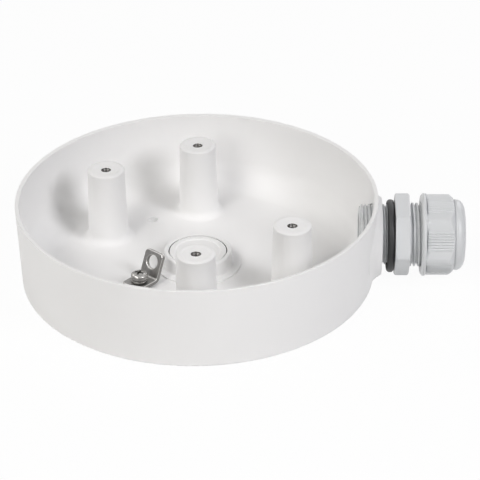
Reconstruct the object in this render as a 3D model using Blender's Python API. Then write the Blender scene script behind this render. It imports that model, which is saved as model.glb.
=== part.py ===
"""Camera junction box: a round die-cast back box for a ceiling or wall camera.

The box stands open side up, its wall face on z = 0 and its centre line on +Z. Four tapered bosses carry
the camera, a screwed plug closes the rear cable entry, an earth terminal is screwed to the floor, and a
cable gland in the side entry points along +X. Sizes are in metres.
"""

import math

import bmesh
import bpy

# Housing casting.
RIM_RADIUS = 0.0740
BOX_HEIGHT = 0.0350
OUTER_DRAFT = math.radians(2.0)
RIM_WALL = 0.0017
INNER_DRAFT = math.radians(4.4)
RIM_ROUNDING = 0.0004
BASE_ROUNDING = 0.0010
FLOOR = 0.0028
COVE_RADIUS = 0.0120
COVE_CREASE = 0.0005

# Camera bosses: a rectangle of four, turned from the gland's direction.
BOSS_SPAN_SHORT = 0.0436
BOSS_SPAN_LONG = 0.0792
BOSS_TURN = math.radians(30.8)
BOSS_BELOW_RIM = 0.0006
BOSS_TOP_RADIUS = 0.00765
BOSS_DRAFT = math.radians(1.5)
BOSS_EDGE = 0.0013
BOSS_FOOT = 0.0030
TAPPED_RADIUS = 0.00195
TAPPED_MOUTH_RADIUS = 0.00225
TAPPED_DEPTH = 0.0120

# Rear cable entry and its plug.
PLUG_RADIUS = 0.0119
COLLAR_WALL = 0.0019
COLLAR_RISE = 0.0066
COLLAR_EDGE = 0.0005
PAD_MARGIN = 0.0037
PAD_RISE = 0.0006
PLUG_BELOW_COLLAR = 0.0003
PLUG_EDGE = 0.0004
PLUG_RING_RADIUS = 0.0097
PLUG_RING_DEPTH = 0.0005
COIN_SLOT_LENGTH = 0.0115
COIN_SLOT_WIDTH = 0.0025
COIN_SLOT_DEPTH = 0.0022
O_RING_SECTION = 0.0018
O_RING_HEIGHT = 0.0022
O_RING_ROOM = 0.0006

# Screw holes through the floor for fixing the box to a wall.
WALL_HOLE_COUNT = 3
WALL_HOLE_CIRCLE = 0.0421
WALL_HOLE_RADIUS = 0.00215

# Earth terminal: an angle bracket, a lock washer and a pan-head screw.
TERMINAL_X = -0.0231
TERMINAL_Y = -0.0187
TERMINAL_TURN = math.radians(49.0)
EARTH_PAD_RADIUS = 0.0044
EARTH_PAD_RISE = 0.0006
BRACKET_THICKNESS = 0.0018
BRACKET_WIDTH = 0.0096
BRACKET_BEND_AT = 0.0054
BRACKET_TAIL = 0.0053
BRACKET_BEND_RADIUS = 0.0012
TAB_LENGTH = 0.0105
TAB_LEAN = math.radians(27.0)
TAB_CORNER = 0.0016
TAIL_CORNER = 0.0010
TAB_HOLE_RADIUS = 0.0029
TAB_HOLE_FROM_TOP = 0.0050
SCREW_RADIUS = 0.00195
SCREW_TIP_ABOVE_BACK = 0.0004
SCREW_TIP_CHAMFER = 0.0005
SCREW_HEAD_RADIUS = 0.0032
SCREW_HEAD_HEIGHT = 0.0026
SCREW_HEAD_FLAT = 0.0011
CROSS_LENGTH = 0.0036
CROSS_WIDTH = 0.0009
CROSS_DEPTH = 0.0013
WASHER_WALL = 0.0011
WASHER_THICKNESS = 0.0009
WASHER_SPLIT = 0.0006

# Side entry and cable gland, measured outwards along the gland's axis.
GLAND_BELOW_MIDDLE = 0.0002
ENTRY_THREAD_RADIUS = 0.0124
SIDE_BOSS_RADIUS = 0.0162
SIDE_BOSS_DROP = 0.0008
SIDE_BOSS_REACH = 0.0016
SIDE_BOSS_EDGE = 0.0005
SIDE_BOSS_FILLET = 0.0045
THREAD_SHOWN = 0.0021
THREAD_CHAMFER = 0.0010
THREAD_INSIDE_WALL = 0.0078
GASKET_THICKNESS = 0.0029
GASKET_WALL = 0.0016
GASKET_DROP = 0.0007
GASKET_EDGE = 0.0009
FLANGE_LENGTH = 0.0060
FLANGE_SHOULDER = 0.0018
FLANGE_CHAMFER = 0.0006
FLANGE_TURN = math.radians(37.0)
NUT_TRAVEL = 0.0045
NUT_STOP = 0.0002
NUT_COLLAR_LENGTH = 0.0018
NUT_COLLAR_CHAMFER = 0.0008
NUT_GRIP_LENGTH = 0.01135
NUT_WALL = 0.0016
NUT_TURN = math.radians(41.0)
CORNER_STEP = 0.0020
GRIP_CORNER_STEP = 0.0002
GRIP_CHAMFER = 0.0017
RIB_COUNT = 7
RIB_PITCH = 0.00115
RIB_HEIGHT = 0.0003
RIB_FOOT = 0.0004
RIB_CREST = 0.00018
NUT_GROOVE_LENGTH = 0.0006
NUT_GROOVE_WALL = 0.0008
DOME_LENGTH = 0.0042
DOME_STEP = 0.0003
DOME_CROWN = 0.0034
MOUTH_STEP = 0.0012
MOUTH_FLARE = 0.0006
MOUTH_LAND = 0.0002
MOUTH_LIP = 0.0034
SEAL_POCKET = 0.0012
COMPRESSION_WALL = 0.0029
COMPRESSION_THREAD_LENGTH = 0.0081
CLAW_ROOT_STEP = 0.0007
CLAW_TIP_WALL = 0.0006
CLAW_COUNT = 12
CLAW_GAP = 0.0010
CLAW_CLEARANCE = 0.0004
SEAL_INNER_RADIUS = 0.0080
SEAL_WALL = 0.0019
GLAND_BORE_STEP = 0.0006
SEAL_LENGTH = 0.0131
SEAL_EDGE = 0.0004

# Clearances.
SEAT_GAP = 0.0003
RUNNING_GAP = 0.0003
BLEND_SINK = 0.0001
OVERCUT = 0.0010

# Facets round each form, and the angle from which an edge is sharp.
SHARP_ANGLE = math.radians(32.0)
HOUSING_SIDES = 80
GLAND_SIDES = 48
BOSS_SIDES = 24
SMALL_SIDES = 20

# Levels and stations that follow from the sizes above.
SUNK_LEVEL = FLOOR / 2
BOSS_TOP = BOX_HEIGHT - BOSS_BELOW_RIM
COLLAR_TOP = FLOOR + COLLAR_RISE
COLLAR_BORE_RADIUS = PLUG_RADIUS + RUNNING_GAP
COLLAR_RADIUS = COLLAR_BORE_RADIUS + COLLAR_WALL
BRACKET_BOTTOM = FLOOR + EARTH_PAD_RISE + SEAT_GAP
BRACKET_TOP = BRACKET_BOTTOM + BRACKET_THICKNESS
WASHER_BOTTOM = BRACKET_TOP + SEAT_GAP
SCREW_HEAD_BOTTOM = WASHER_BOTTOM + WASHER_THICKNESS + SEAT_GAP
SCREW_HOLE_RADIUS = SCREW_RADIUS + RUNNING_GAP
SIDE_BORE_RADIUS = ENTRY_THREAD_RADIUS + RUNNING_GAP
SEAL_OUTER_RADIUS = SEAL_INNER_RADIUS + SEAL_WALL
SEAL_SEAT_RADIUS = SEAL_OUTER_RADIUS + RUNNING_GAP
GLAND_BORE_RADIUS = SEAL_INNER_RADIUS + GLAND_BORE_STEP
CLAW_TIP_RADIUS = SEAL_SEAT_RADIUS + CLAW_TIP_WALL
COMPRESSION_THREAD_RADIUS = SEAL_SEAT_RADIUS + COMPRESSION_WALL
NUT_BORE_RADIUS = COMPRESSION_THREAD_RADIUS + RUNNING_GAP
FLANGE_FLATS_RADIUS = COMPRESSION_THREAD_RADIUS + FLANGE_SHOULDER
NUT_FLATS_RADIUS = NUT_BORE_RADIUS + NUT_WALL
CORNER_RADIUS = NUT_FLATS_RADIUS + CORNER_STEP
GRIP_CORNER_RADIUS = CORNER_RADIUS - GRIP_CORNER_STEP
NUT_GROOVE_RADIUS = NUT_BORE_RADIUS + NUT_GROOVE_WALL
DOME_RADIUS = NUT_GROOVE_RADIUS + DOME_STEP
MOUTH_RADIUS = SEAL_INNER_RADIUS + MOUTH_STEP
GLAND_HEIGHT = BOX_HEIGHT / 2 - GLAND_BELOW_MIDDLE
INSIDE_STATION = RIM_RADIUS / 2
SIDE_BOSS_FACE = RIM_RADIUS + SIDE_BOSS_REACH
GASKET_START = SIDE_BOSS_FACE + THREAD_SHOWN
GASKET_BORE_RADIUS = ENTRY_THREAD_RADIUS + GASKET_DROP + SEAT_GAP
GASKET_RADIUS = GASKET_BORE_RADIUS + GASKET_WALL
FLANGE_START = GASKET_START + GASKET_THICKNESS + SEAT_GAP
FLANGE_END = FLANGE_START + FLANGE_LENGTH
THREAD_START = RIM_RADIUS - THREAD_INSIDE_WALL
COMPRESSION_THREAD_END = FLANGE_END + COMPRESSION_THREAD_LENGTH
NUT_START = FLANGE_END + NUT_TRAVEL + NUT_STOP
GRIP_START = NUT_START + NUT_COLLAR_LENGTH
GRIP_END = GRIP_START + NUT_GRIP_LENGTH
DOME_START = GRIP_END + NUT_GROOVE_LENGTH
NUT_END = DOME_START + DOME_LENGTH
LIP_START = NUT_END - MOUTH_LIP
SEAL_END = LIP_START - SEAT_GAP
SEAL_START = SEAL_END - SEAL_LENGTH
SEAL_SEAT_START = SEAL_START - NUT_TRAVEL - SEAT_GAP
POCKET_START = LIP_START - SEAL_POCKET
CONE_START = POCKET_START - (NUT_BORE_RADIUS - SEAL_SEAT_RADIUS)
CLAW_END = CONE_START - NUT_TRAVEL + NUT_BORE_RADIUS - CLAW_TIP_RADIUS - CLAW_CLEARANCE


def clear_scene():
    for old in list(bpy.data.objects):
        bpy.data.objects.remove(old, do_unlink=True)


def finish(name, colour, metallic, roughness):
    """A plain material: its colour, how metallic it is and how rough."""
    material = bpy.data.materials.new(name)
    material.use_nodes = True
    shader = material.node_tree.nodes["Principled BSDF"]
    shader.inputs["Base Color"].default_value = (*colour, 1.0)
    shader.inputs["Metallic"].default_value = metallic
    shader.inputs["Roughness"].default_value = roughness
    return material


def empty_at(name, location, turn):
    """An empty that places a group of pieces."""
    empty = bpy.data.objects.new(name, None)
    empty.location = location
    empty.rotation_euler = turn
    bpy.context.scene.collection.objects.link(empty)
    return empty


def new_object(name, bm, parent=None):
    """An object made from a closed bmesh."""
    bmesh.ops.recalc_face_normals(bm, faces=bm.faces)
    mesh = bpy.data.meshes.new(name)
    bm.to_mesh(mesh)
    bm.free()
    made = bpy.data.objects.new(name, mesh)
    made.parent = parent
    bpy.context.scene.collection.objects.link(made)
    return made


def arc(centre_r, centre_h, radius, start, end, steps):
    """Points of a circular arc in a profile, from one angle to another, in degrees."""
    angles = [math.radians(start + (end - start) * i / steps) for i in range(steps + 1)]
    return [(centre_r + radius * math.cos(a), centre_h + radius * math.sin(a)) for a in angles]


def turned(name, profile, sides, parent=None):
    """A solid of revolution about Z from a profile of (radius, height) points."""
    bm = bmesh.new()
    points = [bm.verts.new((radius, 0.0, height)) for radius, height in profile]
    for first, second in zip(points, points[1:]):
        bm.edges.new((first, second))
    if profile[0][0] > 0 or profile[-1][0] > 0:
        bm.edges.new((points[-1], points[0]))
    bmesh.ops.spin(
        bm,
        geom=bm.verts[:] + bm.edges[:],
        cent=(0, 0, 0),
        axis=(0, 0, 1),
        angle=math.tau,
        steps=sides,
        use_merge=True,
    )
    bmesh.ops.remove_doubles(bm, verts=bm.verts, dist=1e-7)
    return new_object(name, bm, parent)


def prism(name, outline, start, end, parent=None):
    """An outline in XY carried along Z from one height to another."""
    bm = bmesh.new()
    face = bm.faces.new([bm.verts.new((x, y, start)) for x, y in outline])
    lifted = bmesh.ops.extrude_face_region(bm, geom=[face])["geom"]
    raised = [item for item in lifted if isinstance(item, bmesh.types.BMVert)]
    bmesh.ops.translate(bm, verts=raised, vec=(0, 0, end - start))
    return new_object(name, bm, parent)


def rectangle(low_x, high_x, low_y, high_y):
    return [(low_x, low_y), (high_x, low_y), (high_x, high_y), (low_x, high_y)]


def rod(name, radius, start, end, sides, parent=None):
    return turned(name, [(0, start), (radius, start), (radius, end), (0, end)], sides, parent)


def combine(target, tool, operation):
    """Adds a Boolean to the target. The tool stays in the scene as a hidden guide."""
    tool.hide_render = True
    tool.display_type = "WIRE"
    step = target.modifiers.new(tool.name, "BOOLEAN")
    step.object = tool
    step.operation = operation


def settle(piece):
    """Turns a piece's Booleans into plain mesh, so that the edges they made can be marked sharp."""
    graph = bpy.context.evaluated_depsgraph_get()
    mesh = bpy.data.meshes.new_from_object(piece.evaluated_get(graph))
    mesh.name = piece.name
    piece.modifiers.clear()
    piece.data = mesh
    mesh.shade_smooth()
    mesh.set_sharp_from_angle(angle=SHARP_ANGLE)


def outer_radius(height):
    """Radius of the drafted outside wall at a height."""
    return RIM_RADIUS - (BOX_HEIGHT - height) * math.tan(OUTER_DRAFT)


def inner_radius(height):
    """Radius of the drafted inside wall at a height."""
    return RIM_RADIUS - RIM_WALL - (BOX_HEIGHT - height) * math.tan(INNER_DRAFT)


def body_profile():
    """Outside of the casting, as if it were solid."""
    edge_radius = outer_radius(BASE_ROUNDING) - BASE_ROUNDING
    profile = [(0, 0)]
    profile += arc(edge_radius, BASE_ROUNDING, BASE_ROUNDING, -90, 0, 3)
    profile += arc(RIM_RADIUS - RIM_ROUNDING, BOX_HEIGHT - RIM_ROUNDING, RIM_ROUNDING, 0, 90, 2)
    profile += [(0, BOX_HEIGHT)]
    return profile


def cavity_profile():
    """The hollow: floor, cove, drafted wall and the rounded inner edge of the rim."""
    cove_height = FLOOR + COVE_RADIUS - COVE_CREASE
    cove_centre = inner_radius(cove_height) - COVE_RADIUS
    cove_end = -math.degrees(math.asin((COVE_RADIUS - COVE_CREASE) / COVE_RADIUS))
    rim_edge = RIM_RADIUS - RIM_WALL + RIM_ROUNDING
    profile = [(0, FLOOR)]
    profile += arc(cove_centre, cove_height, COVE_RADIUS, cove_end, 0, 6)
    profile += arc(rim_edge, BOX_HEIGHT - RIM_ROUNDING, RIM_ROUNDING, 180, 90, 2)
    profile += [(rim_edge, BOX_HEIGHT + OVERCUT), (0, BOX_HEIGHT + OVERCUT)]
    return profile


def boss_profile():
    """A tapered camera boss, with a rounded top edge and a filleted foot sunk into the floor."""
    taper = math.tan(BOSS_DRAFT)
    foot_radius = BOSS_TOP_RADIUS + (BOSS_TOP - FLOOR - BOSS_FOOT) * taper + BOSS_FOOT
    foot_height = FLOOR + BOSS_FOOT - BLEND_SINK
    profile = [(0, SUNK_LEVEL), (foot_radius, SUNK_LEVEL)]
    profile += arc(foot_radius, foot_height, BOSS_FOOT, -90, -180, 4)
    profile += arc(BOSS_TOP_RADIUS - BOSS_EDGE, BOSS_TOP - BOSS_EDGE, BOSS_EDGE, 0, 90, 3)
    profile += [(0, BOSS_TOP)]
    return profile


def tapped_hole_profile():
    """A blind screw hole with a chamfered mouth."""
    chamfer = TAPPED_MOUTH_RADIUS - TAPPED_RADIUS
    return [
        (0, BOSS_TOP - TAPPED_DEPTH),
        (TAPPED_RADIUS, BOSS_TOP - TAPPED_DEPTH + TAPPED_RADIUS / 2),
        (TAPPED_RADIUS, BOSS_TOP - chamfer),
        (TAPPED_MOUTH_RADIUS + OVERCUT, BOSS_TOP + OVERCUT),
        (0, BOSS_TOP + OVERCUT),
    ]


def boss_places():
    """Centres of the four camera bosses."""
    short = (math.cos(BOSS_TURN), math.sin(BOSS_TURN))
    places = []
    for side in (-0.5, 0.5):
        for end in (-0.5, 0.5):
            x = side * BOSS_SPAN_SHORT * short[0] + end * BOSS_SPAN_LONG * short[1]
            y = side * BOSS_SPAN_SHORT * short[1] - end * BOSS_SPAN_LONG * short[0]
            places.append((x, y))
    return places


def collar_profile():
    """The collar round the rear entry, standing on its low pad."""
    return [
        (0, SUNK_LEVEL),
        (COLLAR_RADIUS + PAD_MARGIN, SUNK_LEVEL),
        (COLLAR_RADIUS + PAD_MARGIN, FLOOR + PAD_RISE),
        (COLLAR_RADIUS, FLOOR + PAD_RISE),
        (COLLAR_RADIUS, COLLAR_TOP - COLLAR_EDGE),
        (COLLAR_RADIUS - COLLAR_EDGE, COLLAR_TOP),
        (0, COLLAR_TOP),
    ]


def side_boss_profile():
    """The round boss of the side entry. It flares where it meets the curved wall."""
    flare_radius = SIDE_BOSS_RADIUS + SIDE_BOSS_FILLET
    flare_station = SIDE_BOSS_FACE - 2 * SIDE_BOSS_EDGE
    profile = [(0, INSIDE_STATION), (flare_radius, INSIDE_STATION)]
    profile += arc(flare_radius, flare_station, SIDE_BOSS_FILLET, -90, -180, 4)[1:]
    edge_radius = SIDE_BOSS_RADIUS - SIDE_BOSS_EDGE
    profile += arc(edge_radius, SIDE_BOSS_FACE - SIDE_BOSS_EDGE, SIDE_BOSS_EDGE, 0, 90, 2)
    profile += [(0, SIDE_BOSS_FACE)]
    return profile


def make_housing(gland_axis, terminal):
    """One casting: cup, camera bosses, rear entry collar and side entry boss."""
    housing = turned("housing", body_profile(), HOUSING_SIDES)
    side_boss = turned("side_boss", side_boss_profile(), GLAND_SIDES, gland_axis)
    side_boss.location = (SIDE_BOSS_DROP, 0, 0)
    reach = SIDE_BOSS_FACE + OVERCUT
    slab = prism("side_boss_limit", rectangle(0, reach, -reach, reach), 0, BOX_HEIGHT - RIM_ROUNDING)
    combine(side_boss, slab, "INTERSECT")
    combine(housing, side_boss, "UNION")
    combine(housing, turned("cavity", cavity_profile(), HOUSING_SIDES), "DIFFERENCE")
    combine(housing, turned("entry_collar", collar_profile(), 2 * BOSS_SIDES), "UNION")
    for number, (x, y) in enumerate(boss_places(), 1):
        boss = turned(f"camera_boss_{number}", boss_profile(), BOSS_SIDES)
        boss.location = (x, y, 0)
        combine(housing, boss, "UNION")
        hole = turned(f"tapped_hole_{number}", tapped_hole_profile(), SMALL_SIDES)
        hole.location = (x, y, 0)
        combine(housing, hole, "DIFFERENCE")
    entry = rod("entry_hole", COLLAR_BORE_RADIUS, -OVERCUT, COLLAR_TOP + OVERCUT, 2 * BOSS_SIDES)
    combine(housing, entry, "DIFFERENCE")
    for number in range(WALL_HOLE_COUNT):
        angle = math.tau * number / WALL_HOLE_COUNT
        hole = rod(f"wall_hole_{number + 1}", WALL_HOLE_RADIUS, -OVERCUT, FLOOR + OVERCUT, SMALL_SIDES)
        hole.location = (WALL_HOLE_CIRCLE * math.cos(angle), WALL_HOLE_CIRCLE * math.sin(angle), 0)
        combine(housing, hole, "DIFFERENCE")
    pad = rod("earth_pad", EARTH_PAD_RADIUS, SUNK_LEVEL, FLOOR + EARTH_PAD_RISE, SMALL_SIDES, terminal)
    combine(housing, pad, "UNION")
    earth = rod("earth_hole", SCREW_HOLE_RADIUS, -OVERCUT, FLOOR + OVERCUT, SMALL_SIDES, terminal)
    combine(housing, earth, "DIFFERENCE")
    side = rod("side_hole", SIDE_BORE_RADIUS, INSIDE_STATION, reach, GLAND_SIDES, gland_axis)
    combine(housing, side, "DIFFERENCE")
    return housing


def make_entry_plug():
    """The screwed plug of the rear entry: flat outside, ringed and slotted inside, grooved for its ring."""
    top = COLLAR_TOP - PLUG_BELOW_COLLAR
    groove_radius = COLLAR_BORE_RADIUS - O_RING_SECTION - O_RING_ROOM
    groove_half = O_RING_SECTION / 2 + SEAT_GAP
    profile = [
        (0, 0),
        (PLUG_RADIUS, 0),
        (PLUG_RADIUS, O_RING_HEIGHT - groove_half),
        (groove_radius, O_RING_HEIGHT - groove_half),
        (groove_radius, O_RING_HEIGHT + groove_half),
        (PLUG_RADIUS, O_RING_HEIGHT + groove_half),
        (PLUG_RADIUS, top - PLUG_EDGE),
        (PLUG_RADIUS - PLUG_EDGE, top),
        (PLUG_RING_RADIUS, top),
        (PLUG_RING_RADIUS - PLUG_RING_DEPTH, top - PLUG_RING_DEPTH),
        (0, top - PLUG_RING_DEPTH),
    ]
    plug = turned("entry_plug", profile, 2 * BOSS_SIDES)
    half_length = COIN_SLOT_LENGTH / 2
    half_width = COIN_SLOT_WIDTH / 2
    outline = rectangle(-half_length, half_length, -half_width, half_width)
    slot_floor = top - PLUG_RING_DEPTH - COIN_SLOT_DEPTH
    combine(plug, prism("coin_slot", outline, slot_floor, top + OVERCUT), "DIFFERENCE")
    return plug


def make_plug_o_ring():
    """The sealing ring in the plug's groove."""
    centre = COLLAR_BORE_RADIUS - O_RING_ROOM / 2 - O_RING_SECTION / 2
    section = arc(centre, O_RING_HEIGHT, O_RING_SECTION / 2, 0, 360, 8)[:-1]
    return turned("entry_plug_o_ring", section, 2 * BOSS_SIDES)


def bracket_outline():
    """Side view of the angle bracket in (length, height): tail, bend and leaning tab."""
    inner = BRACKET_BEND_RADIUS
    outer = inner + BRACKET_THICKNESS
    centre = (BRACKET_BEND_AT - inner, BRACKET_TOP + inner)
    lean = math.degrees(TAB_LEAN)
    along = (math.sin(TAB_LEAN), math.cos(TAB_LEAN))
    lower = arc(centre[0], centre[1], outer, -90, -lean, 4)
    upper = arc(centre[0], centre[1], inner, -lean, -90, 4)
    tip_low = (lower[-1][0] + TAB_LENGTH * along[0], lower[-1][1] + TAB_LENGTH * along[1])
    tip_high = (upper[0][0] + TAB_LENGTH * along[0], upper[0][1] + TAB_LENGTH * along[1])
    tail = [(-BRACKET_TAIL, BRACKET_TOP), (-BRACKET_TAIL, BRACKET_BOTTOM)]
    return tail + lower + [tip_low, tip_high] + upper


def make_ground_bracket(terminal):
    """A bent steel strip with a hole for the screw and a larger one for the earth lead."""
    bm = bmesh.new()
    half = BRACKET_WIDTH / 2
    outline = bracket_outline()
    face = bm.faces.new([bm.verts.new((x, -half, z)) for x, z in outline])
    lifted = bmesh.ops.extrude_face_region(bm, geom=[face])["geom"]
    raised = [item for item in lifted if isinstance(item, bmesh.types.BMVert)]
    bmesh.ops.translate(bm, verts=raised, vec=(0, BRACKET_WIDTH, 0))
    corners = {}
    for edge in bm.edges:
        first, second = edge.verts
        if abs(first.co.y - second.co.y) > half:
            continue
        middle = (first.co + second.co) / 2
        if abs(edge.calc_length() - BRACKET_THICKNESS) < SEAT_GAP:
            tail_end = middle.x < -BRACKET_TAIL + SEAT_GAP
            tab_end = middle.x > BRACKET_BEND_AT and middle.z > BRACKET_TOP + TAB_LENGTH / 2
            if tail_end:
                corners[edge] = TAIL_CORNER
            elif tab_end:
                corners[edge] = TAB_CORNER
    for size in (TAIL_CORNER, TAB_CORNER):
        chosen = [edge for edge, corner in corners.items() if corner == size and edge.is_valid]
        bmesh.ops.bevel(bm, geom=chosen, offset=size, segments=4, profile=0.5, affect="EDGES")
    bracket = new_object("ground_bracket", bm, terminal)
    low = BRACKET_BOTTOM - OVERCUT
    high = BRACKET_TOP + OVERCUT
    screw_hole = rod("bracket_screw_hole", SCREW_HOLE_RADIUS, low, high, SMALL_SIDES, terminal)
    combine(bracket, screw_hole, "DIFFERENCE")
    reach = BRACKET_THICKNESS + OVERCUT
    lead_hole = rod("bracket_lead_hole", TAB_HOLE_RADIUS, -OVERCUT, reach, SMALL_SIDES, terminal)
    tip_x, tip_z = max(outline)
    lead_hole.location = (
        tip_x - TAB_HOLE_FROM_TOP * math.sin(TAB_LEAN),
        0,
        tip_z - TAB_HOLE_FROM_TOP * math.cos(TAB_LEAN),
    )
    lead_hole.rotation_euler = (0, TAB_LEAN - math.pi / 2, 0)
    combine(bracket, lead_hole, "DIFFERENCE")
    return bracket


def make_ground_screw(terminal):
    """A cross-recessed pan-head screw through washer, bracket and floor."""
    top = SCREW_HEAD_BOTTOM + SCREW_HEAD_HEIGHT
    side_top = SCREW_HEAD_BOTTOM + SCREW_HEAD_HEIGHT / 2
    tip = SCREW_TIP_ABOVE_BACK
    profile = [(0, tip), (SCREW_RADIUS - SCREW_TIP_CHAMFER, tip), (SCREW_RADIUS, tip + SCREW_TIP_CHAMFER)]
    profile += [(SCREW_RADIUS, SCREW_HEAD_BOTTOM), (SCREW_HEAD_RADIUS, SCREW_HEAD_BOTTOM)]
    profile += [(SCREW_HEAD_RADIUS, side_top)]
    for step in (1, 2, 3):
        angle = math.radians(30 * step)
        radius = SCREW_HEAD_FLAT + (SCREW_HEAD_RADIUS - SCREW_HEAD_FLAT) * math.cos(angle)
        profile += [(radius, side_top + (top - side_top) * math.sin(angle))]
    profile += [(0, top)]
    screw = turned("ground_screw", profile, SMALL_SIDES, terminal)
    half_length = CROSS_LENGTH / 2
    half_width = CROSS_WIDTH / 2
    for number, (long, wide) in enumerate(((half_length, half_width), (half_width, half_length)), 1):
        outline = rectangle(-long, long, -wide, wide)
        slot = prism(f"cross_slot_{number}", outline, top - CROSS_DEPTH, top + OVERCUT, terminal)
        combine(screw, slot, "DIFFERENCE")
    return screw


def make_lock_washer(terminal):
    """A split spring washer under the screw head."""
    bore = SCREW_RADIUS + RUNNING_GAP
    low = WASHER_BOTTOM
    high = WASHER_BOTTOM + WASHER_THICKNESS
    rim = bore + WASHER_WALL
    washer = turned(
        "ground_lock_washer",
        [(bore, low), (rim, low), (rim, high), (bore, high)],
        SMALL_SIDES,
        terminal,
    )
    outline = rectangle(0, rim + OVERCUT, -WASHER_SPLIT / 2, WASHER_SPLIT / 2)
    split = prism("washer_split", outline, low - OVERCUT, high + OVERCUT, terminal)
    combine(washer, split, "DIFFERENCE")
    return washer


def hexagon(flats_radius, turn, ribs=0):
    """A hexagon's outline. Each side can carry a row of small ribs at its middle."""
    outline = []
    for side in range(6):
        facing = turn + math.tau * (side + 0.5) / 6
        normal = (math.cos(facing), math.sin(facing))
        along = (-normal[1], normal[0])
        row = [(-flats_radius * math.tan(math.pi / 6), 0)]
        for rib in range(ribs):
            middle = (rib - (ribs - 1) / 2) * RIB_PITCH
            row += [(middle - RIB_FOOT, 0), (middle - RIB_CREST, RIB_HEIGHT)]
            row += [(middle + RIB_CREST, RIB_HEIGHT), (middle + RIB_FOOT, 0)]
        for offset, rise in row:
            out = flats_radius + rise
            outline.append((normal[0] * out + along[0] * offset, normal[1] * out + along[1] * offset))
    return outline


def make_gland_body(gland_axis):
    """The gland's nylon body: entry thread, hexagon flange, compression thread and sealing claws."""
    claw_root = COMPRESSION_THREAD_RADIUS - CLAW_ROOT_STEP
    entry_tip = ENTRY_THREAD_RADIUS - THREAD_CHAMFER
    core = [
        (GLAND_BORE_RADIUS, THREAD_START),
        (entry_tip, THREAD_START),
        (ENTRY_THREAD_RADIUS, THREAD_START + THREAD_CHAMFER),
        (ENTRY_THREAD_RADIUS, FLANGE_END - FLANGE_LENGTH / 2),
        (COMPRESSION_THREAD_RADIUS, FLANGE_END - FLANGE_LENGTH / 2),
        (COMPRESSION_THREAD_RADIUS, COMPRESSION_THREAD_END - CLAW_ROOT_STEP),
        (claw_root, COMPRESSION_THREAD_END),
        (CLAW_TIP_RADIUS, CLAW_END),
        (SEAL_SEAT_RADIUS, CLAW_END),
        (SEAL_SEAT_RADIUS, SEAL_SEAT_START),
        (GLAND_BORE_RADIUS, SEAL_SEAT_START),
    ]
    body = turned("gland_body", core, GLAND_SIDES, gland_axis)
    bore = SEAL_SEAT_RADIUS + SEAT_GAP
    outline = hexagon(FLANGE_FLATS_RADIUS, FLANGE_TURN)
    flange = prism("flange_hexagon", outline, FLANGE_START - OVERCUT, FLANGE_END + OVERCUT, gland_axis)
    barrel_profile = [
        (bore, FLANGE_START),
        (CORNER_RADIUS - FLANGE_CHAMFER, FLANGE_START),
        (CORNER_RADIUS, FLANGE_START + FLANGE_CHAMFER),
        (CORNER_RADIUS, FLANGE_END - FLANGE_CHAMFER),
        (CORNER_RADIUS - FLANGE_CHAMFER, FLANGE_END),
        (bore, FLANGE_END),
    ]
    barrel = turned("flange_barrel", barrel_profile, GLAND_SIDES, gland_axis)
    combine(flange, barrel, "INTERSECT")
    combine(body, flange, "UNION")
    for number in range(CLAW_COUNT // 2):
        outline = rectangle(-CORNER_RADIUS, CORNER_RADIUS, -CLAW_GAP / 2, CLAW_GAP / 2)
        start = COMPRESSION_THREAD_END + CLAW_GAP / 2
        cutter = prism(f"claw_gap_{number + 1}", outline, start, CLAW_END + OVERCUT, gland_axis)
        cutter.rotation_euler = (0, 0, math.pi * number / (CLAW_COUNT // 2))
        combine(body, cutter, "DIFFERENCE")
    return body


def make_gland_gasket(gland_axis):
    """The rubber washer behind the flange. It is loose, so it hangs down on the entry thread."""
    end = GASKET_START + GASKET_THICKNESS
    profile = [
        (GASKET_BORE_RADIUS, GASKET_START),
        (GASKET_RADIUS - GASKET_EDGE, GASKET_START),
        (GASKET_RADIUS, GASKET_START + GASKET_EDGE),
        (GASKET_RADIUS, end - GASKET_EDGE),
        (GASKET_RADIUS - GASKET_EDGE, end),
        (GASKET_BORE_RADIUS, end),
    ]
    gasket = turned("gland_gasket", profile, GLAND_SIDES, gland_axis)
    gasket.location = (GASKET_DROP, 0, 0)
    return gasket


def make_gland_seal(gland_axis):
    """The rubber sleeve that the claws press onto the cable."""
    profile = [
        (SEAL_INNER_RADIUS, SEAL_START),
        (SEAL_OUTER_RADIUS, SEAL_START),
        (SEAL_OUTER_RADIUS, SEAL_END - SEAL_EDGE),
        (SEAL_OUTER_RADIUS - SEAL_EDGE, SEAL_END),
        (SEAL_INNER_RADIUS + SEAL_EDGE, SEAL_END),
        (SEAL_INNER_RADIUS, SEAL_END - SEAL_EDGE),
    ]
    return turned("gland_seal", profile, GLAND_SIDES, gland_axis)


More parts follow.
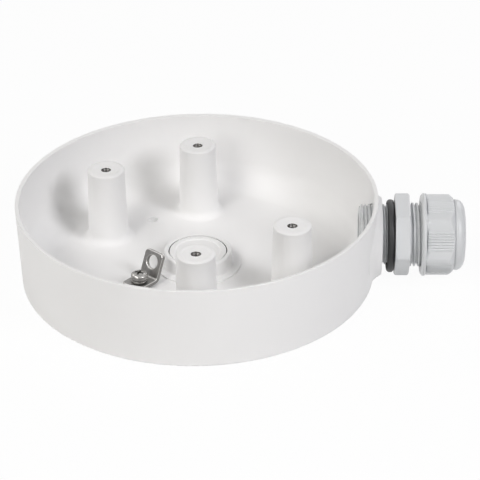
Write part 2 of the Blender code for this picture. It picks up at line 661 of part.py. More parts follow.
def make_gland_nut(gland_axis):
    """The sealing nut: round collar, ribbed hexagon grip and domed mouth, hollow inside."""
    overlap = NUT_COLLAR_LENGTH / 2
    outline = hexagon(NUT_FLATS_RADIUS, NUT_TURN, RIB_COUNT)
    nut = prism("gland_nut", outline, GRIP_START - overlap, GRIP_END + OVERCUT, gland_axis)
    barrel_profile = [
        (0, NUT_START),
        (GRIP_CORNER_RADIUS, NUT_START),
        (GRIP_CORNER_RADIUS, GRIP_END - GRIP_CHAMFER),
        (GRIP_CORNER_RADIUS - GRIP_CHAMFER, GRIP_END),
        (0, GRIP_END),
    ]
    combine(nut, turned("grip_barrel", barrel_profile, GLAND_SIDES, gland_axis), "INTERSECT")
    collar = [
        (0, NUT_START),
        (CORNER_RADIUS - NUT_COLLAR_CHAMFER, NUT_START),
        (CORNER_RADIUS, NUT_START + NUT_COLLAR_CHAMFER),
        (CORNER_RADIUS, GRIP_START),
        (0, GRIP_START),
    ]
    combine(nut, turned("nut_collar", collar, GLAND_SIDES, gland_axis), "UNION")
    dome = [(0, GRIP_START - overlap), (NUT_GROOVE_RADIUS, GRIP_START - overlap)]
    dome += [(NUT_GROOVE_RADIUS, DOME_START), (DOME_RADIUS, DOME_START)]
    crown_start = NUT_END - DOME_CROWN
    crown_reach = DOME_RADIUS - MOUTH_RADIUS - MOUTH_FLARE - MOUTH_LAND
    for step in range(6):
        angle = math.pi / 2 * step / 5
        radius = DOME_RADIUS - crown_reach * (1 - math.cos(angle))
        dome += [(radius, crown_start + DOME_CROWN * math.sin(angle))]
    dome += [(0, NUT_END)]
    combine(nut, turned("nut_dome", dome, GLAND_SIDES, gland_axis), "UNION")
    hollow = [
        (0, NUT_START - OVERCUT),
        (NUT_BORE_RADIUS, NUT_START - OVERCUT),
        (NUT_BORE_RADIUS, CONE_START),
        (SEAL_SEAT_RADIUS, POCKET_START),
        (SEAL_SEAT_RADIUS, LIP_START),
        (MOUTH_RADIUS, LIP_START),
        (MOUTH_RADIUS, NUT_END - MOUTH_FLARE),
        (MOUTH_RADIUS + MOUTH_FLARE + OVERCUT, NUT_END + OVERCUT),
        (0, NUT_END + OVERCUT),
    ]
    combine(nut, turned("nut_hollow", hollow, GLAND_SIDES, gland_axis), "DIFFERENCE")
    return nut


clear_scene()

white_coat = finish("white_powder_coat", (0.80, 0.81, 0.82), 0.0, 0.45)
grey_nylon = finish("grey_nylon", (0.66, 0.68, 0.70), 0.0, 0.40)
black_rubber = finish("black_rubber", (0.02, 0.02, 0.02), 0.0, 0.60)
dark_steel = finish("dark_steel", (0.25, 0.24, 0.22), 1.0, 0.40)
bright_steel = finish("bright_steel", (0.55, 0.53, 0.50), 1.0, 0.25)

gland_axis = empty_at("gland_axis", (0, 0, GLAND_HEIGHT), (0, math.pi / 2, 0))
terminal = empty_at("earth_terminal", (TERMINAL_X, TERMINAL_Y, 0), (0, 0, TERMINAL_TURN))

pieces = (
    (make_housing(gland_axis, terminal), white_coat),
    (make_entry_plug(), white_coat),
    (make_plug_o_ring(), black_rubber),
    (make_ground_bracket(terminal), dark_steel),
    (make_ground_screw(terminal), bright_steel),
    (make_lock_washer(terminal), bright_steel),
    (make_gland_body(gland_axis), grey_nylon),
    (make_gland_gasket(gland_axis), black_rubber),
    (make_gland_seal(gland_axis), black_rubber),
    (make_gland_nut(gland_axis), grey_nylon),
)
for piece, material in pieces:
    settle(piece)
    piece.data.materials.append(material)
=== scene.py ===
"""Camera junction box, dressed: a white cast back box with a cable gland in its side.

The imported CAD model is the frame. Each section makes one piece, or a group of like pieces, as it
is put together. Sizes are in metres, in the frame of the CAD.
"""

import math

import bmesh
import bpy
import numpy as np
from mathutils import Matrix, Vector


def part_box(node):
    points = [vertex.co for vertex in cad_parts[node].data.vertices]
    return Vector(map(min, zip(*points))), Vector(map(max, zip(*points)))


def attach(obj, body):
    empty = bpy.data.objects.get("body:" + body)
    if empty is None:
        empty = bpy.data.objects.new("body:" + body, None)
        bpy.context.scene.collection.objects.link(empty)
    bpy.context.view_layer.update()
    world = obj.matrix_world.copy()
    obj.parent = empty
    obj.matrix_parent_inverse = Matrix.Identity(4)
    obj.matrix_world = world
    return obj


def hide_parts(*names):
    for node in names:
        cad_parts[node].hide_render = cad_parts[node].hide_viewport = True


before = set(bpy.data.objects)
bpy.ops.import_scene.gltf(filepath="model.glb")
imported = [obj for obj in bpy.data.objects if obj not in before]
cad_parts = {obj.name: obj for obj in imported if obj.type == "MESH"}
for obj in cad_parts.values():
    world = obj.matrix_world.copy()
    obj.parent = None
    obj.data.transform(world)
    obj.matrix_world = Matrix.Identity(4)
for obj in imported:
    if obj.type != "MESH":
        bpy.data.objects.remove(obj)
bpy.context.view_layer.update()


# The casting is one piece of die-cast alloy: a drafted cup with a cove round its floor, four tapered
# camera bosses, a collar for the rear entry and a flared boss for the side entry. It is powder coated.

BOX_LOW, BOX_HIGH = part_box("housing")
RIM_RADIUS = -BOX_LOW.x
BOX_HEIGHT = BOX_HIGH.z
OUTER_SLOPE = math.tan(math.radians(2.0))
BASE_EDGE = 0.0010
RIM_EDGE = 0.0003


def rounded(corners, steps=4):
    """A profile from corners of (radius, height, rounding)."""
    profile = []
    before = corners[-1:] + corners[:-1]
    after = corners[1:] + corners[:1]
    for last, (radius, height, rounding), following in zip(before, corners, after):
        here = Vector((radius, height))
        if rounding == 0:
            profile.append(tuple(here))
            continue
        back = (Vector(last[:2]) - here).normalized()
        ahead = (Vector(following[:2]) - here).normalized()
        half = back.angle(ahead) / 2
        centre = here + (back + ahead).normalized() * rounding / math.sin(half)
        start = here + back * rounding / math.tan(half) - centre
        end = here + ahead * rounding / math.tan(half) - centre
        sweep = start.angle(end)
        for step in range(steps + 1):
            part = step / steps * sweep
            spoke = (start * math.sin(sweep - part) + end * math.sin(part)) / math.sin(sweep)
            profile.append(tuple(centre + spoke))
    return profile


def placed(name, data):
    """An object of a mesh, a lamp or a lens, put in the scene."""
    made = bpy.data.objects.new(name, data)
    bpy.context.scene.collection.objects.link(made)
    return made


def cleaned(name, mesh):
    """An object of the mesh, with doubled points merged and its faces turned outwards."""
    bm = bmesh.new()
    bm.from_mesh(mesh)
    bmesh.ops.remove_doubles(bm, verts=bm.verts, dist=1e-7)
    bmesh.ops.recalc_face_normals(bm, faces=bm.faces)
    bm.to_mesh(mesh)
    bm.free()
    return placed(name, mesh)


def settled(name, bm):
    """A mesh of what bm holds, with bm given up."""
    mesh = bpy.data.meshes.new(name)
    bm.to_mesh(mesh)
    bm.free()
    return mesh


def revolved(name, rings, sides, place=Matrix.Identity(4), looped=False):
    """A skin of rings about an axis. A ring's radius and height may vary with the angle."""
    turns = np.linspace(0, math.tau, sides, endpoint=False)
    grid = []
    for radius, height in rings:
        grid.append(np.stack([radius * np.cos(turns), radius * np.sin(turns), height + 0 * turns], 1))
    faces = []
    for row in range(len(rings) if looped else len(rings) - 1):
        here = row * sides
        there = (row + 1) % len(rings) * sides
        for side in range(sides):
            beside = (side + 1) % sides
            faces.append((here + side, here + beside, there + beside, there + side))
    mesh = bpy.data.meshes.new(name)
    mesh.from_pydata(np.concatenate(grid).tolist(), [], faces)
    mesh.transform(place)
    return cleaned(name, mesh)


def slab(name, low, high, place=Matrix.Identity(4)):
    """A plain block between two corners, for cutting with."""
    bm = bmesh.new()
    bmesh.ops.create_cube(bm, size=1)
    middle = (Vector(low) + Vector(high)) / 2
    size = Vector(high) - Vector(low)
    bm.transform(place @ Matrix.Translation(middle) @ Matrix.Diagonal((*size, 1)))
    return cleaned(name, settled(name, bm))


def combine(piece, tool, operation="DIFFERENCE"):
    """Cuts or joins the piece with a tool, takes the tool away and clears the slivers along the cut."""
    step = piece.modifiers.new("combine", "BOOLEAN")
    step.object = tool
    step.operation = operation
    evaluated = piece.evaluated_get(bpy.context.evaluated_depsgraph_get())
    mesh = bpy.data.meshes.new_from_object(evaluated)
    piece.modifiers.clear()
    bm = bmesh.new()
    bm.from_mesh(mesh)
    bmesh.ops.dissolve_degenerate(bm, dist=1e-7, edges=bm.edges)
    bm.to_mesh(mesh)
    bm.free()
    piece.data = mesh
    bpy.data.objects.remove(tool)


def fitted(piece, finish, body, slot, *nodes, crease=30):
    """Shades a piece, gives it its material and hands it to the body that carries it."""
    piece.data.shade_smooth()
    piece.data.set_sharp_from_angle(angle=math.radians(crease))
    piece.modifiers.new("even shading", "WEIGHTED_NORMAL").keep_sharp = True
    piece.data.materials.append(finish)
    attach(piece, body)
    if nodes:
        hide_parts(*nodes)


class Port:
    """A socket in a material. Sums and products of ports add Math nodes, and node() adds any other."""

    def __init__(self, tree, socket=None):
        self.tree = tree
        self.socket = socket

    def node(self, kind, settings=None, sockets=None, out=0):
        made = self.tree.nodes.new(kind)
        for name, value in (settings or {}).items():
            setattr(made, name, value)
        for name, value in (sockets or {}).items():
            if isinstance(value, Port):
                self.tree.links.new(value.socket, made.inputs[name])
            else:
                made.inputs[name].default_value = value
        return Port(self.tree, made.outputs[out] if made.outputs else None)

    def maths(self, operation, first, second):
        return self.node("ShaderNodeMath", {"operation": operation}, {0: first, 1: second})

    def __add__(self, other):
        return self.maths("ADD", self, other)

    def __radd__(self, other):
        return self.maths("ADD", other, self)

    def __sub__(self, other):
        return self.maths("SUBTRACT", self, other)

    def __rsub__(self, other):
        return self.maths("SUBTRACT", other, self)

    def __mul__(self, other):
        return self.maths("MULTIPLY", self, other)

    def __rmul__(self, other):
        return self.maths("MULTIPLY", other, self)

    def noise(self, scale, detail=2.0, stretch=(1, 1, 1)):
        """Noise in the object's own metres, from 0 to 1, stretched along an axis if asked."""
        place = self.node("ShaderNodeTexCoord", out="Object")
        place = self.node("ShaderNodeMapping", {}, {"Vector": place, "Scale": stretch})
        return self.node("ShaderNodeTexNoise", {}, {"Vector": place, "Scale": scale, "Detail": detail})

    def between(self, low, high, amount):
        """A colour between two others."""
        settings = {"data_type": "RGBA"}
        sockets = {"Factor": amount, "A": (*low, 1), "B": (*high, 1)}
        return self.node("ShaderNodeMix", settings, sockets, out="Result")

    def bump(self, height, depth, strength=1.0):
        sockets = {"Height": height, "Distance": depth, "Strength": strength}
        return self.node("ShaderNodeBump", {}, sockets, out="Normal")

    def surface(self, **sockets):
        """Ends the material in a Principled shader with these sockets."""
        named = {name.replace("_", " "): value for name, value in sockets.items()}
        shader = self.node("ShaderNodeBsdfPrincipled", {}, named)
        self.node("ShaderNodeOutputMaterial", {}, {"Surface": shader})


def new_finish(name):
    """An empty material, and a port in it to hang nodes from."""
    finish = bpy.data.materials.new(name)
    finish.use_nodes = True
    finish.node_tree.nodes.clear()
    return finish, Port(finish.node_tree)


white_coat, port = new_finish("white powder coat")
peel = port.noise(1100.0, 1.0)
grain = port.noise(5200.0, 2.0)
cloud = port.noise(38.0, 3.0)
port.surface(
    Base_Color=port.between((0.862, 0.858, 0.855), (0.888, 0.885, 0.882), cloud),
    Roughness=0.52 + 0.10 * grain + 0.06 * cloud,
    Normal=port.bump(0.7 * peel + 0.3 * grain, 0.00003, 0.6),
    Specular_IOR_Level=0.2,
)

outside = rounded(
    [
        (0, 0, 0),
        (RIM_RADIUS - BOX_HEIGHT * OUTER_SLOPE, 0, BASE_EDGE),
        (RIM_RADIUS, BOX_HEIGHT, RIM_EDGE),
        (0, BOX_HEIGHT, 0),
    ],
    steps=5,
)
casting = revolved("housing_casting", outside, 288)

# The side boss flares into the wall, and stops just under the rim and just over the base.
GLAND_LOW, GLAND_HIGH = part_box("gland_seal")
GLAND_HEIGHT = (GLAND_LOW.z + GLAND_HIGH.z) / 2
GLAND_AXIS = Matrix.Translation((0, 0, GLAND_HEIGHT)) @ Matrix.Rotation(math.pi / 2, 4, "Y")
SIDE_BOSS_FACE = BOX_HIGH.x
SIDE_BOSS_INSIDE = RIM_RADIUS / 2
SIDE_BOSS_RADIUS = 0.0162
SIDE_BOSS_DROP = 0.0008
SIDE_BOSS_EDGE = 0.0005
SIDE_BOSS_EDGE_STEPS = 5
SIDE_BOSS_EASE = 0.0004
UNDER_RIM = 0.0004
OVER_BASE = 0.0005
FLARE_RADIUS = 0.0096
FLARE_START = math.radians(27.3)
FLARE_END = math.radians(73.5)
FLARE_STEPS = 14
FLARE_ROOT = 0.6


def least(*radii, ease=0.00012):
    """The smallest of some radii, with the corners between them eased."""
    typical = 0.01
    together = sum(np.exp(-(radius - typical) / ease) for radius in radii)
    return typical - ease * np.log(together)


turns = np.linspace(0, math.tau, 192, endpoint=False)
boss_middle = GLAND_HEIGHT - SIDE_BOSS_DROP
sideways = 0.3
under_rim = (BOX_HEIGHT - UNDER_RIM - boss_middle) / np.maximum(-np.cos(turns), sideways)
over_base = (boss_middle - OVER_BASE) / np.maximum(np.cos(turns), sideways)
flare_foot = SIDE_BOSS_FACE - SIDE_BOSS_EDGE
flare = [(SIDE_BOSS_RADIUS + FLARE_RADIUS * FLARE_ROOT, SIDE_BOSS_INSIDE)]
for step in range(FLARE_STEPS + 1):
    angle = FLARE_END + (FLARE_START - FLARE_END) * step / FLARE_STEPS
    out = FLARE_RADIUS * (math.cos(FLARE_START) - math.cos(angle))
    back = FLARE_RADIUS * (math.sin(angle) - math.sin(FLARE_START))
    flare.append((SIDE_BOSS_RADIUS + out, flare_foot - back))
for step in range(1, SIDE_BOSS_EDGE_STEPS + 1):
    angle = math.radians(90 * step / SIDE_BOSS_EDGE_STEPS)
    radius = SIDE_BOSS_RADIUS - SIDE_BOSS_EDGE + SIDE_BOSS_EDGE * math.cos(angle)
    flare.append((radius, flare_foot + SIDE_BOSS_EDGE * math.sin(angle)))
side_boss = [(0, SIDE_BOSS_INSIDE)]
for radius, height in flare:
    side_boss.append((least(radius, under_rim, over_base, ease=SIDE_BOSS_EASE), height))
side_boss.append((0, SIDE_BOSS_FACE))
lowered_axis = Matrix.Translation((0, 0, -SIDE_BOSS_DROP)) @ GLAND_AXIS
combine(casting, revolved("side_boss", side_boss, 192, lowered_axis), "UNION")

# The hollow leaves a drafted wall, with a cove where it meets the floor.
INNER_SLOPE = math.tan(math.radians(4.4))
RIM_WALL = 0.0017
RIM_EDGE_START = 0.00032
OVER_RIM = (0.0004, 0.0006)
OUTSIDE_RIM = 0.0020
FLOOR = 0.0028
FLOOR_RINGS = (0.016, 0.026, 0.036, 0.046)
COVE = 0.0120

inner_foot = RIM_RADIUS - RIM_WALL - (BOX_HEIGHT - FLOOR) * INNER_SLOPE
hollow = rounded(
    [
        (0, FLOOR, 0),
        *[(radius, FLOOR, 0) for radius in FLOOR_RINGS],
        (inner_foot, FLOOR, COVE),
        (RIM_RADIUS - RIM_WALL, BOX_HEIGHT - RIM_EDGE_START, RIM_EDGE),
        (RIM_RADIUS + OUTSIDE_RIM, BOX_HEIGHT + OVER_RIM[0], 0),
        (0, BOX_HEIGHT + OVER_RIM[1], 0),
    ],
    steps=20,
)
combine(casting, revolved("hollow", hollow, 288))

# The collar of the rear entry stands on a low round pad.
SUNK = FLOOR / 2
COLLAR_TOP = FLOOR + 0.0066
COLLAR_BORE = 0.0122
COLLAR_RADIUS = 0.0141
COLLAR_SPREAD = 0.0001
COLLAR_EDGE = 0.0006
COLLAR_FILLET = 0.0008
PAD_RADIUS = 0.0178
PAD_TOP = FLOOR + 0.0008
PAD_EDGE = 0.0002

collar = rounded(
    [
        (0, SUNK, 0),
        (PAD_RADIUS, SUNK, 0),
        (PAD_RADIUS, PAD_TOP, PAD_EDGE),
        (COLLAR_RADIUS + COLLAR_SPREAD, PAD_TOP, COLLAR_FILLET),
        (COLLAR_RADIUS, COLLAR_TOP, COLLAR_EDGE),
        (0, COLLAR_TOP, 0),
    ]
)
combine(casting, revolved("entry_collar", collar, 144), "UNION")

# A camera boss has a fillet at its foot and a raised ring round its face, and a blind screw hole.
BOSS_SPAN = (0.0436, 0.0792)
BOSS_TURN = math.radians(30.8)
BOSS_SLOPE = math.tan(math.radians(1.5))
BOSS_RADIUS = 0.0077
BOSS_TOP = BOX_HEIGHT - 0.0002
BOSS_SHOULDER = BOSS_TOP - 0.0004
BOSS_EDGE = 0.0005
BOSS_RING_RADIUS = 0.0061
BOSS_RING_EDGE = 0.002
BOSS_FACE = BOSS_TOP - 0.0003
BOSS_FACE_RADIUS = 0.0051
BOSS_FILLET = 0.0032
FILLET_START = FLOOR - 0.00005
FILLET_REACH = (0.0050, 0.0055)
SCREW_HOLE_RADIUS = 0.00205
SCREW_HOLE_END = BOSS_FACE - 0.0110
SCREW_HOLE_TIP = BOSS_FACE - 0.0120
SCREW_HOLE_EDGE = BOSS_FACE - 0.0003
SCREW_HOLE_MOUTH = 0.0008
OVER_FACE = BOSS_FACE + 0.0005

boss_low = BOSS_RADIUS + (BOSS_TOP - FLOOR) * BOSS_SLOPE
boss = rounded(
    [
        (0, SUNK, 0),
        (boss_low + FILLET_REACH[1], SUNK, 0),
        (boss_low + FILLET_REACH[0], FILLET_START, 0),
        (boss_low, FILLET_START, BOSS_FILLET),
        (BOSS_RADIUS, BOSS_SHOULDER, BOSS_EDGE),
        (BOSS_RING_RADIUS, BOSS_TOP, BOSS_RING_EDGE),
        (BOSS_FACE_RADIUS, BOSS_FACE, BOSS_RING_EDGE),
        (0, BOSS_FACE, 0),
    ],
    steps=8,
)
screw_hole = [
    (0, SCREW_HOLE_TIP),
    (SCREW_HOLE_RADIUS, SCREW_HOLE_END),
    (SCREW_HOLE_RADIUS, SCREW_HOLE_EDGE),
    (SCREW_HOLE_RADIUS + SCREW_HOLE_MOUTH, OVER_FACE),
    (0, OVER_FACE),
]
short = Vector((math.cos(BOSS_TURN), math.sin(BOSS_TURN), 0)) * BOSS_SPAN[0] / 2
long = Vector((math.sin(BOSS_TURN), -math.cos(BOSS_TURN), 0)) * BOSS_SPAN[1] / 2
boss_places = [-short - long, -short + long, short - long, short + long]
for place in boss_places:
    there = Matrix.Translation(place)
    combine(casting, revolved("camera_boss", boss, 112, there), "UNION")
    combine(casting, revolved("screw_hole", screw_hole, 48, there))

# The rear entry, the three wall holes, the earth terminal's pad and the side entry are drilled.
THROUGH = 0.001
DRILLED_EDGE = 0.0002
WALL_HOLES = 3
WALL_HOLE_CIRCLE = 0.0421
WALL_HOLE_RADIUS = 0.00215
TERMINAL = Matrix.Translation((-0.0231, -0.0187, 0)) @ Matrix.Rotation(math.radians(49.0), 4, "Z")
EARTH_PAD_RADIUS = 0.0044
EARTH_PAD_TOP = FLOOR + 0.0006
EARTH_PAD_EDGE = 0.0003
EARTH_HOLE_RADIUS = 0.00225
SIDE_BORE = 0.0127
SIDE_BORE_EDGE = 0.0004
SIDE_BORE_MOUTH = 0.0014


def drill(radius, bottom, top, place, sides=64):
    """A hole through the casting, with its edge just broken."""
    wide = radius + DRILLED_EDGE
    profile = [
        (0, bottom - THROUGH),
        (wide + THROUGH, bottom - THROUGH),
        (radius, bottom + DRILLED_EDGE),
        (radius, top - DRILLED_EDGE),
        (wide + THROUGH, top + THROUGH),
        (0, top + THROUGH),
    ]
    combine(casting, revolved("drill", profile, sides, place))


drill(COLLAR_BORE, 0, COLLAR_TOP, Matrix.Identity(4), 144)
for number in range(WALL_HOLES):
    angle = math.tau * number / WALL_HOLES
    x, y = WALL_HOLE_CIRCLE * math.cos(angle), WALL_HOLE_CIRCLE * math.sin(angle)
    drill(WALL_HOLE_RADIUS, 0, FLOOR, Matrix.Translation((x, y, 0)))
earth_pad = rounded(
    [
        (0, SUNK, 0),
        (EARTH_PAD_RADIUS, SUNK, 0),
        (EARTH_PAD_RADIUS, EARTH_PAD_TOP, EARTH_PAD_EDGE),
        (0, EARTH_PAD_TOP, 0),
    ]
)
combine(casting, revolved("earth_pad", earth_pad, 64, TERMINAL), "UNION")
drill(EARTH_HOLE_RADIUS, 0, EARTH_PAD_TOP, TERMINAL)
side_bore = [
    (0, SIDE_BOSS_INSIDE),
    (SIDE_BORE, SIDE_BOSS_INSIDE),
    (SIDE_BORE, SIDE_BOSS_FACE - SIDE_BORE_EDGE),
    (SIDE_BORE + SIDE_BORE_MOUTH, SIDE_BOSS_FACE + THROUGH),
    (0, SIDE_BOSS_FACE + THROUGH),
]
combine(casting, revolved("side_bore", side_bore, 192, GLAND_AXIS))
fitted(casting, white_coat, "box", "white_coat", "housing")


# Each camera boss is tapped after coating, so its screw hole shows a bare metal thread. The thread is a
# thin sleeve in the hole, with one ridge that winds down it. Its metal is painted nearly black as
# painted shade in the deep hole, with painted glints.

THREAD_PITCH = 0.0007
THREAD_HEIGHT = 0.00032
THREAD_LENGTH = 0.0107
THREAD_STEPS = 120
SLEEVE_GAP = 0.00002
SLEEVE_WALL = 0.00006
RUN_IN_STEPS = 6

# A metal painted nearly black as the shade in deep holes and seams. Its noise paints lighter patches on
# as glints, and also varies its roughness.
shade_darkened_metal, port = new_finish("alloy painted dark as shade, with painted glints")
glints_and_cut = port.noise(1500.0, 3.0)
port.surface(
    Base_Color=port.between((0.010, 0.009, 0.009), (0.300, 0.290, 0.280), glints_and_cut),
    Metallic=1.0,
    Roughness=0.12 + 0.16 * glints_and_cut,
)


def ridge(station, turns, pitch, crest=0.22, root=0.22):
    """How deep a screw thread is at a station, from 0 on its crest to 1 in its root."""
    across = np.abs(2 * np.mod(station / pitch - turns / math.tau, 1) - 1)
    slope = np.clip((across - crest) / (1 - crest - root), 0, 1)
    return slope * slope * (3 - 2 * slope)


turns = np.linspace(0, math.tau, 48, endpoint=False)
sleeve_radius = SCREW_HOLE_RADIUS - SLEEVE_GAP
for number, place in enumerate(boss_places, 1):
    sleeve = [(sleeve_radius, SCREW_HOLE_END), (sleeve_radius, SCREW_HOLE_EDGE)]
    for step in range(THREAD_STEPS + 1):
        station = SCREW_HOLE_EDGE - THREAD_LENGTH * step / THREAD_STEPS
        run_in = min(1, step / RUN_IN_STEPS)
        height = THREAD_HEIGHT * run_in * (1 - ridge(station, turns, THREAD_PITCH))
        sleeve.append((SCREW_HOLE_RADIUS - SLEEVE_WALL - height, station))
    thread = revolved(f"camera_thread_{number}", sleeve, 48, Matrix.Translation(place), looped=True)
    fitted(thread, shade_darkened_metal, "box", "bright_steel", crease=60)


# The rear entry is shut by a screwed plug of the same white casting. Its face is dished inside a raised
# rim, and a slot for a coin turns it. The plug and the bore of the collar are threaded, and a black
# rubber ring in the plug's groove seals it there.

PLUG_RADIUS = 0.0118
PLUG_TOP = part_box("entry_plug")[1].z
PLUG_EDGE = 0.0004
PLUG_BACK_EDGE = 0.0003
DISH_RADIUS = (0.0097, 0.0092)
DISH_DEPTH = 0.0005
RING_HEIGHT = 0.0022
RING_RADIUS = COLLAR_BORE - 0.0012
RING_THICKNESS = 0.0009
RING_STEPS = 20
GROOVE_RADIUS = PLUG_RADIUS - 0.0021
GROOVE_REACH = 0.0012
COIN_SLOT = (0.00575, 0.00125)
COIN_SLOT_DEPTH = 0.0027
ENTRY_THREAD_PITCH = 0.0010
ENTRY_THREAD_STEPS = 60
PLUG_CREST = PLUG_RADIUS + 0.0001
PLUG_CORE = PLUG_RADIUS - 0.0009
PLUG_THREAD_HEIGHT = 0.0005
TAPPED_CREST = COLLAR_BORE - 0.0001
TAPPED_DEPTH = 0.00006


def broken_edges(piece, width, segments, limit, material=-1):
    """Breaks the edges of a piece that are sharper than a limit in degrees."""
    edge = piece.modifiers.new("broken edges", "BEVEL")
    edge.width = width
    edge.segments = segments
    edge.limit_method = "ANGLE"
    edge.angle_limit = math.radians(limit)
    edge.material = material


plug_face = rounded(
    [
        (0, 0, 0),
        (PLUG_RADIUS, 0, PLUG_BACK_EDGE),
        (PLUG_RADIUS, RING_HEIGHT - GROOVE_REACH, 0),
        (GROOVE_RADIUS, RING_HEIGHT - GROOVE_REACH, 0),
        (GROOVE_RADIUS, RING_HEIGHT + GROOVE_REACH, 0),
        (PLUG_RADIUS, RING_HEIGHT + GROOVE_REACH, 0),
        (PLUG_RADIUS, PLUG_TOP, PLUG_EDGE),
        (DISH_RADIUS[0], PLUG_TOP, PLUG_EDGE),
        (DISH_RADIUS[1], PLUG_TOP - DISH_DEPTH, PLUG_EDGE),
        (0, PLUG_TOP - DISH_DEPTH, 0),
    ],
    steps=5,
)
plug = revolved("entry_plug_face", plug_face, 160)
low = (-COIN_SLOT[0], -COIN_SLOT[1], PLUG_TOP - COIN_SLOT_DEPTH)
high = (COIN_SLOT[0], COIN_SLOT[1], PLUG_TOP + THROUGH)
combine(plug, slab("coin_slot", low, high))
broken_edges(plug, width=0.00012, segments=2, limit=60)
fitted(plug, white_coat, "box", "white_coat", "entry_plug")

# The plug's thread and the collar's tapped bore take the near-black metal, which paints the shade in
# the seam round the plug.
thread_start = RING_HEIGHT + 0.0016
thread_end = PLUG_TOP - 0.0007
turns = np.linspace(0, math.tau, 160, endpoint=False)
sleeve = [(PLUG_CORE, thread_end), (PLUG_CORE, thread_start)]
for step in range(ENTRY_THREAD_STEPS + 1):
    station = thread_start + (thread_end - thread_start) * step / ENTRY_THREAD_STEPS
    run_in = min(1, (ENTRY_THREAD_STEPS - step) / RUN_IN_STEPS, (1 + step) / RUN_IN_STEPS)
    depth = 1 - run_in * (1 - ridge(station, turns, ENTRY_THREAD_PITCH))
    sleeve.append((PLUG_CREST - PLUG_THREAD_HEIGHT * depth, station))
plug_thread = revolved("entry_plug_thread", sleeve, 160, looped=True)
fitted(plug_thread, shade_darkened_metal, "box", "dark_steel", crease=60)

sleeve_radius = COLLAR_BORE - SLEEVE_GAP
tapped_end = thread_end + 0.0003
sleeve = [(sleeve_radius, PLUG_TOP - PLUG_EDGE), (sleeve_radius, thread_start)]
for step in range(ENTRY_THREAD_STEPS + 1):
    station = thread_start + (tapped_end - thread_start) * step / ENTRY_THREAD_STEPS
    depth = TAPPED_DEPTH * ridge(station, turns, ENTRY_THREAD_PITCH)
    sleeve.append((TAPPED_CREST + depth, station))
tapped_bore = revolved("entry_collar_thread", sleeve, 160, looped=True)
fitted(tapped_bore, shade_darkened_metal, "box", "dark_steel", crease=60)

black_rubber, port = new_finish("black rubber")
bloom = port.noise(420.0, 4.0)
skin = port.noise(4200.0, 2.0)
port.surface(
    Base_Color=port.between((0.007, 0.007, 0.008), (0.024, 0.024, 0.025), bloom),
    Roughness=0.36 + 0.25 * bloom,
    Normal=port.bump(skin, 0.00002, 0.5),
)

ring = []
for step in range(RING_STEPS):
    angle = math.tau * step / RING_STEPS
    radius = RING_RADIUS + RING_THICKNESS * math.cos(angle)
    ring.append((radius, RING_HEIGHT + RING_THICKNESS * math.sin(angle)))
o_ring = revolved("entry_plug_ring", ring, 144, looped=True)
fitted(o_ring, black_rubber, "box", "black_rubber", "entry_plug_o_ring", crease=80)


# The earth terminal is a punched and bent strip of plated steel. Its tail is screwed to a pad on the
# floor, and its leaning tab has a hole for the earth lead. Its broken edges are painted brighter, as a
# painted highlight along them.

BRACKET_BOTTOM = FLOOR + 0.0009
BRACKET_THICKNESS = 0.0018
BRACKET_TOP = BRACKET_BOTTOM + BRACKET_THICKNESS
BRACKET_WIDTH = 0.0096
BEND_AT = 0.0054
BEND_INSIDE = 0.0012
TAIL_REACH = 0.0053
TAIL_CORNER = 0.0010
TAB_LENGTH = 0.0099
TAB_LEAN = math.radians(23.0)
TAB_CORNER = 0.0016
TAB_HOLE_RADIUS = 0.0029
TAB_HOLE_FROM_TOP = 0.0044
THROUGH_TAIL = 0.01
THROUGH_TAB = (-0.002, 0.004)

plated_steel, port = new_finish("dull plated strip")
drawn = port.noise(900.0, 4.0, (1.0, 1.0, 0.12))
stain = port.noise(260.0, 3.0)
port.surface(
    Base_Color=port.between((0.180, 0.176, 0.170), (0.385, 0.378, 0.365), drawn),
    Metallic=1.0,
    Roughness=0.30 + 0.18 * stain,
    Normal=port.bump(drawn, 0.00002, 0.5),
)
# A brighter metal for the strip's broken edges: a painted highlight along them.
edge_highlight_finish, port = new_finish("edge painted bright as highlight")
highlight_mottle = port.noise(1500.0, 2.0)
port.surface(
    Base_Color=port.between((0.42, 0.41, 0.40), (0.72, 0.71, 0.69), highlight_mottle),
    Metallic=1.0,
    Roughness=0.24 + 0.12 * highlight_mottle,
)


def bend(radius, steps=10):
    """Points round the strip's bend, from the tail to the tab."""
    points = []
    for step in range(steps + 1):
        angle = -math.pi / 2 + (math.pi / 2 - TAB_LEAN) * step / steps
        x = BEND_AT - BEND_INSIDE + radius * math.cos(angle)
        points.append((x, BRACKET_TOP + BEND_INSIDE + radius * math.sin(angle)))
    return points


